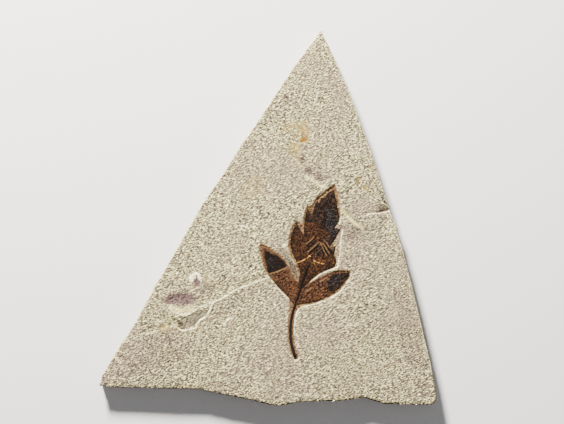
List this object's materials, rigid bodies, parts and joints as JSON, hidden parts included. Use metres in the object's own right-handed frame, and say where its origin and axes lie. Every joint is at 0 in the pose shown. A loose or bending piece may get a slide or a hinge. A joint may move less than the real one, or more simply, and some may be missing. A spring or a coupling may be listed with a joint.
{
  "type": "fossil leaf plate",
  "caption": "Loose triangular plate of pale layered limestone with a dark compound leaf pressed into a shallow recess of its face; lies on its flat back.",
  "frame": {"origin": "under the middle of the plate's outline, on the surface that its flat back rests on", "axes": "+Z out of the face with the leaf, +Y towards the tall corner that the leaf's tip points at, +X to the right as one looks at the face"},
  "size_m": [0.2028, 0.2259, 0.0132],
  "materials": {
    "limestone": "matt, pebbly split face with pale grey-tan grain",
    "stalk_film": "dark carbonised film, low sheen",
    "side_leaflet_film": "brown carbonised film with finer veins, low sheen",
    "end_leaflet_film": "near-black to brown carbonised film, cracked, low sheen"
  },
  "bodies": {
    "root": {"stone_slab": "limestone", "leaf_stalk": "stalk_film", "left_leaflet": "side_leaflet_film", "right_leaflet": "side_leaflet_film", "end_leaflet": "end_leaflet_film"}
  },
  "joints": []
}
